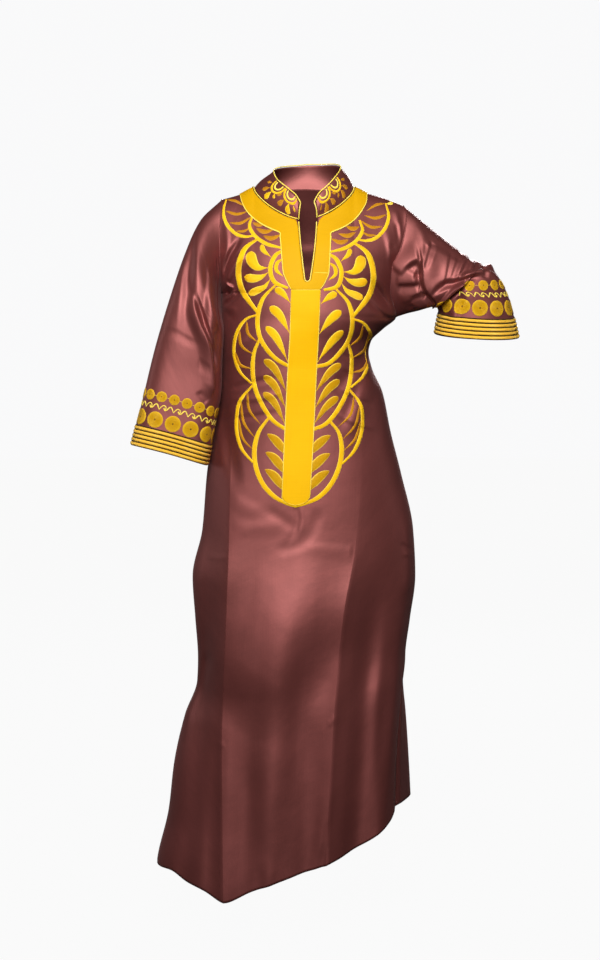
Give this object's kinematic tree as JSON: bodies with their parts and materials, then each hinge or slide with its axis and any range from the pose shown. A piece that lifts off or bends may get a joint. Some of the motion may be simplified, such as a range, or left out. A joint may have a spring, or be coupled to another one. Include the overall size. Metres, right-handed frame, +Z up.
{
  "type": "satin boubou dress worn open on an unseen figure",
  "caption": "Long brown satin boubou with open stand collar, yellow yoke, slit and centre band, embroidered front and wide striped cuffs, held hollow as it is worn.",
  "frame": {"origin": "middle of the base of the neck, level with the neck points of the shoulder seams, where the wearer holds the garment up", "axes": "+Z up along the length, -Y out of the front, +X towards the wearer's left"},
  "size_m": [0.7662, 0.3386, 1.4377],
  "materials": {
    "satin": "polished brown satin with a mauve sheen",
    "yellow_satin": "bright yellow satin",
    "gold_thread": "satin-stitched gold thread",
    "piping": "light yellow corded binding"
  },
  "bodies": {
    "root": {"front": "satin", "back": "satin", "sleeve_right": "satin", "sleeve_left": "satin", "collar": "satin", "yoke": "yellow_satin", "centre_band": "yellow_satin", "cuff_band_right": "gold_thread", "cuff_band_left": "gold_thread", "collar_piping": "piping", "neck_piping": "piping", "slit_binding": "piping"}
  },
  "joints": []
}
